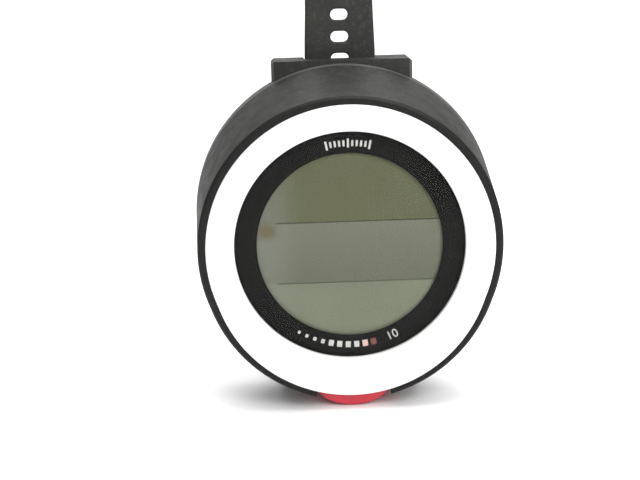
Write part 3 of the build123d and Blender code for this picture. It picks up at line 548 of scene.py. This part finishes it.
# Painted highlight: a lighter, dusty finish on the side faces round the cover's rim near the seam, standing
# in for light catching that edge.
rim_highlight_nylon = finish("case_rim_painted_highlight", (0.055, 0.055, 0.051), 0.48, spread=0.25, patch=220, grain=5200,
                      grain_depth=2.0e-5, specular=0.3, smudge=0.16, dust=0.15)
cap_low, cap_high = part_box("battery_cap")
cap_z = (cap_high.z + cap_low.z) / 2
(x, y, z), facing = face_places(cover)
on_rim = (np.hypot(x, z - cap_z) > 0.040) & (y < seam_y + 0.004) & (np.abs(facing[1]) < 0.8)
finish_faces(cover, rim_highlight_nylon, on_rim)
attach(cover, "case")
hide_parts("case_back")
paint(steel, "case_screws", "wet_contacts", "pressure_sensor")
paint(steel, "strap_pin_top", "strap_pin_bottom", "buckle_pin")
brass = finish("plated_brass", (0.72, 0.52, 0.22), 0.3, metal=1.0, spread=0.08, grain=8000, grain_depth=2e-6)
paint(brass, "buzzer", "buzzer_contacts", "battery_contact_minus", "battery_contact_plus")
cell_steel = finish("cell_steel", (0.66, 0.66, 0.64), 0.22, metal=1.0, spread=0.04, grain=9000,
                    grain_depth=1e-6)
paint(cell_steel, "battery")


# Battery cap: a round black nylon cap with a coin slot, turned into its bayonet.
cap_radius = 0.0144
cap_back, cap_depth = cap_high.y, 0.0036
slot_half, slot_wide, slot_deep = 0.0100, 0.0010, 0.0014


def cap_loops(count=96):
    """Closed lines from the slot's floor to the cap's inner face: the slot is a stadium,
    (sign(cos a)(L - r) + r cos a, r sin a), its lip is rounded, and the face runs from it to
    the circle R (cos a, sin a)."""
    a = np.linspace(0, 2 * np.pi, count + 1)[:-1] + np.pi / count
    normal = np.stack([np.cos(a), np.sin(a)], 1)
    stadium = np.stack([np.sign(normal[:, 0]) * (slot_half - slot_wide), 0 * a], 1) + slot_wide * normal
    t = np.linspace(0, np.pi / 2, 5)[:, None, None]
    lip, rim = 0.00025, 0.0005
    slot_wall = [stadium[None] * 0.02, stadium[None], stadium[None] + 0 * t]
    rows = slot_wall + [stadium[None] + lip * (1 - np.cos(t)) * normal[None]]
    depths = [[slot_deep], [slot_deep], slot_deep + 0 * t[:, 0, 0], lip * (1 - np.sin(t[:, 0, 0]))]
    flat_in = stadium + lip * normal
    flat_out = (cap_radius - rim) * normal
    f = np.array([0.1, 0.35, 0.7, 0.96, 1.0])[:, None, None]
    rows.append(flat_in[None] + (flat_out - flat_in)[None] * f)
    depths.append(np.zeros(5))
    rows.append((cap_radius - rim + rim * np.sin(t)) * normal[None])
    depths.append(rim * (1 - np.cos(t[:, 0, 0])))
    rows += [(cap_radius * normal)[None], (cap_radius * 0.02 * normal)[None]]
    depths += [[cap_depth], [cap_depth]]
    rows = np.concatenate(rows)
    depth = np.concatenate([np.asarray(d, float) for d in depths])[:, None]
    return np.stack([rows[:, :, 0], cap_back - depth + 0 * rows[:, :, 0], cap_z + rows[:, :, 1]], -1)


cap = skin("battery_cap_turned", [(cap_loops(), False, True, True)], case_nylon)
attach(cap, "cap")
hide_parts("battery_cap")


# Strap: two halves of matt black moulded rubber, 20 mm wide, each on a steel pin in its
# lug. The long half has a row of slots and bends over in the curve it was moulded in.
pin_low, pin_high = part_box("strap_pin_top")
pin_y, pin_z = (pin_low.y + pin_high.y) / 2, (pin_low.z + pin_high.z) / 2
strap_half, strap_thick, strap_edge, edge_start = 0.0100, 0.0030, 0.0007, 0.0009
barrel_radius, barrel_bore, root_start = 0.0030, 0.00132, 0.0024
rise, bend, drop = 0.0480, 0.0260, 0.0140
strap_length = rise + math.pi * bend + drop
tip_half = 0.95 * strap_half
slot_pitch, first_slot = 0.0062, 0.0082
strap_rubber = finish("strap_black_rubber", (0.024, 0.024, 0.0215), 0.58, spread=0.2, patch=90, grain=6500,
                      grain_depth=2e-5, specular=0.22, smudge=0.14, dust=0.12)


def long_path(s, h):
    """The place of a point s along the long half and h out from its middle: up, half a turn of
    radius R, then down. (y, z) = P + (R + h) (-cos f, sin f) in the turn, f = (s - rise) / R."""
    f = np.clip((s - rise) / bend, 0, np.pi)
    below = np.minimum(s - rise, 0)
    after = np.maximum(s - rise - np.pi * bend, 0)
    y = pin_y + bend - (bend + h) * np.cos(f)
    z = pin_z + rise + (bend + h) * np.sin(f) + below - after
    return y, z


def half_width(s):
    """Half the strap's width: 10 mm in the lug, drawn in by a twentieth between 8 and 26 mm along,
    W (1 - 0.05 (3 u^2 - 2 u^3)), and times sqrt(1 - ((s - s0) / w)^2) past s0 at its round tip."""
    u = np.clip((s - 0.008) / 0.018, 0, 1)
    past = np.clip(s - (strap_length - tip_half), 0, tip_half) / tip_half
    return strap_half * (1 - 0.05 * (3 * u**2 - 2 * u**3)) * np.sqrt(1 - past**2)


def bent(x, s, h, path):
    """Points of the flat strap (x across, s along, h out) put on its path."""
    y, z = path(s, h)
    return np.stack(np.broadcast_arrays(x, y, z), -1)


slot_count = int((strap_length - 0.011 - first_slot) / slot_pitch) + 1
slot_places = first_slot + slot_pitch * np.arange(slot_count)
field_half = strap_half - edge_start
across = np.linspace(-1, 1, 13)
along = np.linspace(-1, 1, 9)
border = np.concatenate(
    [
        np.stack([across[:-1], -np.ones(12)], 1),
        np.stack([np.ones(8), along[:-1]], 1),
        np.stack([across[:0:-1], np.ones(12)], 1),
        np.stack([-np.ones(8), along[:0:-1]], 1),
    ]
)


def slot_cells():
    """One closed ring of skin round each slot: rows run from the cell's border on the front over
    the slot's rounded lip, through the strap and back out to the border. The slot is the stadium
    (sign(cos b) 1.0 + 1.6 cos b, 1.6 sin b) mm, with b the direction of the border's own point."""
    b = np.arctan2(border[:, 1], border[:, 0])
    normal = np.stack([np.cos(b), np.sin(b)], 1)
    oval = np.stack([np.sign(np.round(normal[:, 0], 9)) * 0.0010, 0 * b], 1) + 0.0016 * normal
    outer = border * np.array([field_half, slot_pitch / 2])
    lip, half = 0.0004, strap_thick / 2
    t = np.linspace(0, np.pi / 2, 5)[:, None, None]
    f = np.array([1.0, 0.75, 0.5, 0.25, 0.08])[:, None, None]
    start = oval + lip * normal
    front = start[None] + (outer - start)[None] * f
    over_lip = oval[None] + lip * (1 - np.sin(t)) * normal[None]
    heights = np.concatenate([np.full(5, half), half - lip * (1 - np.cos(t[:, 0, 0]))])
    flat_rows = np.concatenate([front, over_lip])
    flat_rows = np.concatenate([flat_rows, flat_rows[::-1]])
    heights = np.concatenate([heights, -heights[::-1]])
    s = slot_places[:, None, None] + flat_rows[None, :, :, 1]
    x = flat_rows[None, :, :, 0] * half_width(s) / strap_half
    return [(cell, False, True, False) for cell in bent(x, s, heights[None, :, None], long_path)]


def edge_section():
    """The front half of the strap's rounded edge: d = e (1 - sin t) in from the side and
    h = T/2 - e (1 - cos t) out from the strap's middle."""
    t = np.linspace(0, np.pi / 2, 6)
    inset = np.concatenate([[edge_start], strap_edge * (1 - np.sin(t))])
    height = np.concatenate([[strap_thick / 2], strap_thick / 2 - strap_edge * (1 - np.cos(t))])
    return inset, height


def strap_edges(s, path, half=half_width):
    """The strap's two rounded edges along s, from the front round to the back."""
    inset, height = edge_section()
    inset = np.concatenate([inset, inset[::-1]])[:, None]
    height = np.concatenate([height, -height[::-1]])[:, None]
    s = s[None, :]
    x = half(s) * (strap_half - inset) / strap_half
    return [(bent(side * x, s + 0 * x, height, path), False, False, False) for side in (-1, 1)]


def strap_field(s, path, half=half_width):
    """The plain front and back of the strap between its edges, where there is no slot."""
    x = across[:, None] * field_half * half(s[None, :]) / strap_half
    sides = (strap_thick / 2, -strap_thick / 2)
    return [(bent(x, s[None, :] + 0 * x, h, path), False, False, False) for h in sides]


def strap_end(s, half=half_width):
    """The outline of the strap's cut face at s, as places across and out."""
    inset, height = edge_section()
    right = np.stack([strap_half - inset, height], 1)
    right = np.concatenate([right, right[::-1] * [1, -1]])
    top = np.stack([across[1:-1] * field_half, np.full(11, strap_thick / 2)], 1)
    loop = np.concatenate([top, right, top[::-1] * [1, -1], (right * [-1, 1])[::-1]])
    width = half(np.array([s]))[0] / strap_half
    return loop[:, 0] * width, loop[:, 1]


def barrel(y, z, radius, bore, left, right, count=48):
    """The tube that runs on a pin: rings (r cos a, r sin a) carried along X, with rounded mouths."""
    a = np.linspace(0, 2 * np.pi, count + 1)[:-1][None, :]
    e = 0.0003
    profile = rounded([(bore, left), (radius, left), (radius, right), (bore, right)], e, steps=4)
    r, x = profile[:, :1], profile[:, 1:]
    return (np.stack([x + 0 * a, y + r * np.cos(a), z + r * np.sin(a)], -1), True, True, False)


cell_steps = (slot_places[:, None] + slot_pitch / 2 * along[None, :]).ravel()
slots_start, slots_end = slot_places[0] - slot_pitch / 2, slot_places[-1] + slot_pitch / 2
lower_steps = np.linspace(root_start, slots_start, 4)
tip_steps = strap_length - tip_half + tip_half * np.sin(np.linspace(0, np.pi / 2, 16))
tip_steps = np.concatenate([[slots_end], tip_steps[tip_steps > slots_end + 2e-4]])
long_steps = np.concatenate([lower_steps, cell_steps, tip_steps])
long_steps = long_steps[np.concatenate([[True], np.diff(long_steps) > 1e-7])]
root_x, root_h = strap_end(lower_steps[0])
root = bent(root_x, np.full_like(root_x, lower_steps[0]), root_h, long_path)
root_face = np.stack([root, root.mean(0)[None] + 0 * root])
root_barrel = barrel(pin_y, pin_z, barrel_radius, barrel_bore, -strap_half, strap_half)
long_strap = skin(
    "strap_long_rubber",
    slot_cells()
    + strap_edges(long_steps, long_path)
    + strap_field(lower_steps, long_path)
    + strap_field(tip_steps, long_path)
    + [(root_face, False, True, False), root_barrel],
    strap_rubber,
    sharp=35,
)
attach(long_strap, "long_strap")
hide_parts("strap_long")


# Short half of the strap: it runs back from the lower lug and curls up to the buckle,
# where its end is rolled round the buckle's pin in two fingers, one each side of the tongue.
low_pin, high_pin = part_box("strap_pin_bottom")
short_y, short_z = (low_pin.y + high_pin.y) / 2, (low_pin.z + high_pin.z) / 2
run_back, curl, curl_turn = 0.0210, 0.0360, math.radians(30)
buckle_bore = 0.00106
short_length = run_back + curl * curl_turn
buckle_y = short_y + run_back + curl * math.sin(curl_turn)
buckle_z = short_z + curl * (1 - math.cos(curl_turn))


def short_path(s, h):
    """The place of a point s along the short half and h up from its middle: straight back, then
    an arc of radius R that curls up. (y, z) = (run + (R - h) sin f, R - (R - h) cos f)."""
    f = np.maximum(s - run_back, 0) / curl
    y = short_y + np.minimum(s, run_back) + (curl - h) * np.sin(f)
    z = short_z + curl - (curl - h) * np.cos(f)
    return y, z


def even_width(s):
    """Half the width of the short half, which is even."""
    return np.full_like(np.asarray(s, float), strap_half)


def finger(left, right, start, end):
    """A block of strap between two places across and two along, with rounded edges."""
    edge, half = 0.0006, strap_thick / 2
    line = rounded([(left, -half), (right, -half), (right, half), (left, half)], edge, steps=5)
    s = np.linspace(start, end, 4)[:, None]
    x, h = line[None, :, 0] + 0 * s, line[None, :, 1]
    return (bent(x, s + 0 * x, h, short_path), False, True, True)


straight_steps = np.linspace(root_start, run_back, 6)
curl_steps = np.linspace(run_back, short_length - 0.0026, 12)[1:]
short_steps = np.concatenate([straight_steps, curl_steps])
ends = []
for s in (short_steps[0], short_steps[-1]):
    end_x, end_h = strap_end(s, even_width)
    loop = bent(end_x, np.full_like(end_x, s), end_h, short_path)
    ends.append((np.stack([loop, loop.mean(0)[None] + 0 * loop]), False, True, False))
tongue_room = 0.0022
short_strap = skin(
    "strap_short_rubber",
    strap_edges(short_steps, short_path, even_width)
    + strap_field(short_steps, short_path, even_width)
    + ends
    + [
        finger(-strap_half, -tongue_room, short_length - 0.0034, short_length - 0.0013),
        finger(tongue_room, strap_half, short_length - 0.0034, short_length - 0.0013),
        barrel(short_y, short_z, barrel_radius, barrel_bore, -strap_half, strap_half),
        barrel(buckle_y, buckle_z, 0.0023, buckle_bore, -strap_half, -tongue_room),
        barrel(buckle_y, buckle_z, 0.0023, buckle_bore, tongue_room, strap_half),
    ],
    strap_rubber,
    sharp=35,
)
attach(short_strap, "short_strap")
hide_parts("strap_short")


# Keeper: a moulded rubber loop that slides on the short half and holds the long one's tail.
keeper_low, keeper_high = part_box("keeper")
keeper_wall, keeper_edge = 0.0015, 0.0005


def keeper_loops():
    """The band's section, a rounded oblong (across the wall, along the strap), carried round a
    rounded frame: the corners' radius grows from the bore to the outside with the wall."""
    section = rounded(
        [(0, keeper_low.y), (keeper_wall, keeper_low.y), (keeper_wall, keeper_high.y), (0, keeper_high.y)],
        keeper_edge,
        steps=5,
    )
    loops = []
    for out, y in section:
        inset = keeper_wall - out
        x = keeper_high.x - inset
        low, high = keeper_low.z + inset, keeper_high.z - inset
        line = rounded([(-x, low), (x, low), (x, high), (-x, high)], 0.0018 - inset, steps=9)
        loops.append(np.stack([line[:, 0], np.full(len(line), y), line[:, 1]], 1))
    return np.stack(loops)


keeper = skin("keeper_rubber", [(keeper_loops(), True, True, False)], strap_rubber)
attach(keeper, "keeper_loop")
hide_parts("keeper")


# Buckle: a U-shaped frame of black satin plastic on a steel pin, and the tongue that
# lies over its bar.
buckle_plastic = finish("buckle_black_plastic", (0.026, 0.026, 0.025), 0.38, spread=0.12, patch=120,
                        grain=5200, grain_depth=8e-6, dust=0.06)
frame_inner = strap_half + 0.0004
frame_outer = frame_inner + 0.0034
frame_high, frame_window, frame_bar, frame_edge = 0.0018, 0.0115, 0.0032, 0.0009


def at_buckle(points):
    """Points from the buckle's own frame (across, away from the strap, up) to the strap's end."""
    c, s = math.cos(curl_turn), math.sin(curl_turn)
    y, z = points[..., 1], points[..., 2]
    return np.stack([points[..., 0], buckle_y + y * c - z * s, buckle_z + y * s + z * c], -1)


def frame_loops():
    """The frame's U outline with its top and bottom edges rounded: each loop is the outline drawn
    in by e (1 - sin t) and lies at height H - e (1 - cos t). Drawing in moves each side along its normal."""
    t = np.linspace(0, np.pi / 2, 6)
    inset = np.concatenate([[frame_edge * 1.15], frame_edge * (1 - np.sin(t))])
    height = np.concatenate([[frame_high], frame_high - frame_edge * (1 - np.cos(t))])
    inset, height = np.concatenate([inset, inset[::-1]]), np.concatenate([height, -height[::-1]])
    loops = []
    for d, h in zip(inset, height):
        o, i = frame_outer - d, frame_inner + d
        back, front = -frame_high + d, frame_window + frame_bar - d
        inner = frame_window + d
        inside = [(-o, back), (-i, back), (-i, inner), (i, inner), (i, back)]
        outside = [(o, back), (o, front), (-o, front)]
        foot_out, foot_in, bend_in, bend_out = 1.4e-3 - d * 0.9, 1.2e-3 - d * 0.9, 6e-4 + d, 2.4e-3 - d
        radii = [foot_out, foot_in, bend_in, bend_in, foot_in, foot_out, bend_out, bend_out]
        line = rounded(inside + outside, radii, steps=8)
        loops.append(np.stack([line[:, 0], line[:, 1], np.full(len(line), h)], 1))
    return at_buckle(np.stack(loops))


buckle = skin("buckle_frame_moulded", [(frame_loops(), False, True, True)], buckle_plastic)
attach(buckle, "buckle")
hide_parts("buckle_frame")


tongue_half = 0.0019


def tongue_loops():
    """The tongue's side view, an outline that tapers from the pin to the bar, with both its sides
    rounded: drawn in by e (1 - sin t) at x = W - e (1 - cos t)."""
    half, edge = tongue_half, 0.0004
    t = np.linspace(0, np.pi / 2, 5)
    inset = edge * (1 - np.sin(t))
    place = half - edge * (1 - np.cos(t))
    inset, place = np.concatenate([inset, inset[::-1]]), np.concatenate([place, -place[::-1]])
    low, thick, root = frame_high + 0.0003, 0.0016, 0.0021
    knee, tip = frame_window - 0.0006, frame_window + frame_bar + 0.0006
    loops = []
    for d, x in zip(inset, place):
        under = [(0, root - thick + d), (knee, low + d), (tip - d, low + d)]
        over_it = [(tip - d, low + thick - d), (knee, low + thick - d), (0, root - d)]
        line = rounded(under + over_it, [5e-5, 4e-3, 3e-4, 6e-4, 4e-3, 5e-5], steps=6)
        loops.append(np.stack([np.full(len(line), x), line[:, 0], line[:, 1]], 1))
    return at_buckle(np.stack(loops))


def tongue_ring(count=40):
    """The tongue's ring on the pin: rings (r cos a, r sin a) carried across it."""
    bore, radius, half = buckle_bore, 0.0021, tongue_half
    profile = rounded([(bore, -half), (radius, -half), (radius, half), (bore, half)], 0.0003, steps=4)
    a = np.linspace(0, 2 * np.pi, count + 1)[:-1][None, :]
    r, x = profile[:, :1], profile[:, 1:]
    return at_buckle(np.stack([x + 0 * a, r * np.cos(a), r * np.sin(a)], -1))


tongue = skin(
    "buckle_tongue_moulded",
    [(tongue_loops(), False, True, True), (tongue_ring(), True, True, False)],
    buckle_plastic,
)
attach(tongue, "tongue")
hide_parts("buckle_tongue")


# Floor, light and camera: a pale satin table that runs up into a backdrop, one big soft
# light above, one in front to the right, and the camera a little above the face.
floor_material = finish("floor_pale", (0.86, 0.86, 0.86), 0.42, spread=0.01, patch=3, grain=300,
                        grain_depth=1e-6, smudge=0.04)
reach = np.linspace(0, 1, 25)
sweep_y = np.concatenate([[-1.6, -0.4, 0.0, 0.4], 0.5 + 0.5 * np.sin(reach * np.pi / 2), [1.0]])
sweep_z = np.concatenate([[0, 0, 0, 0], 0.5 - 0.5 * np.cos(reach * np.pi / 2), [2.2]])
side = np.linspace(-2.2, 2.2, 5)[None, :]
ground = np.stack([side + 0 * sweep_y[:, None], sweep_y[:, None] + 0 * side, sweep_z[:, None] + 0 * side], -1)
floor = skin("pale_floor", [(ground, False, False, False)], floor_material)

world = bpy.data.worlds.new("studio")
world.use_nodes = True
world.node_tree.nodes["Background"].inputs["Color"].default_value = (1.0, 1.0, 1.0, 1.0)
world.node_tree.nodes["Background"].inputs["Strength"].default_value = 0.45
bpy.context.scene.world = world
bpy.context.scene.view_settings.view_transform = "Standard"


def soft_light(name, place, target, width, height, power):
    """A rectangular soft light at a place, turned to a target."""
    lamp = bpy.data.lights.new(name, "AREA")
    lamp.shape = "RECTANGLE"
    lamp.size, lamp.size_y, lamp.energy = width, height, power
    made = bpy.data.objects.new(name, lamp)
    bpy.context.scene.collection.objects.link(made)
    made.location = place
    direction = made.location.copy()
    direction.x, direction.y, direction.z = (t - p for t, p in zip(target, place))
    made.rotation_mode = "QUATERNION"
    made.rotation_quaternion = direction.to_track_quat("-Z", "Y")
    return made


soft_light("top_light", (0.05, 0.10, 0.75), (0, 0, 0.05), 0.8, 0.8, 10)
soft_light("front_light", (0.35, -0.70, 0.60), (0, 0, 0.05), 0.6, 0.6, 8)

azimuth, elevation, roll = math.radians(-2.2), math.radians(13.1), math.radians(1.5)
away = math.cos(elevation) * np.array([math.sin(azimuth), -math.cos(azimuth), math.tan(elevation)])
level = np.array([math.cos(azimuth), math.sin(azimuth), 0.0])
upright = np.cross(away, level)
right = level * math.cos(roll) - upright * math.sin(roll)
up = upright * math.cos(roll) + level * math.sin(roll)
camera_data = bpy.data.cameras.new("camera")
camera_data.sensor_width = 36
camera_data.lens = 71.6
camera = bpy.data.objects.new("camera", camera_data)
bpy.context.scene.collection.objects.link(camera)
stand = np.array([0, face_y, face_z]) - 0.00840 * right + 0.00273 * up + 0.340 * away
turn = np.eye(4)
turn[:3, 0], turn[:3, 1], turn[:3, 2], turn[:3, 3] = right, up, away, stand
camera.matrix_world = Matrix(turn.tolist())
camera_data.clip_start = 0.01
bpy.context.scene.camera = camera
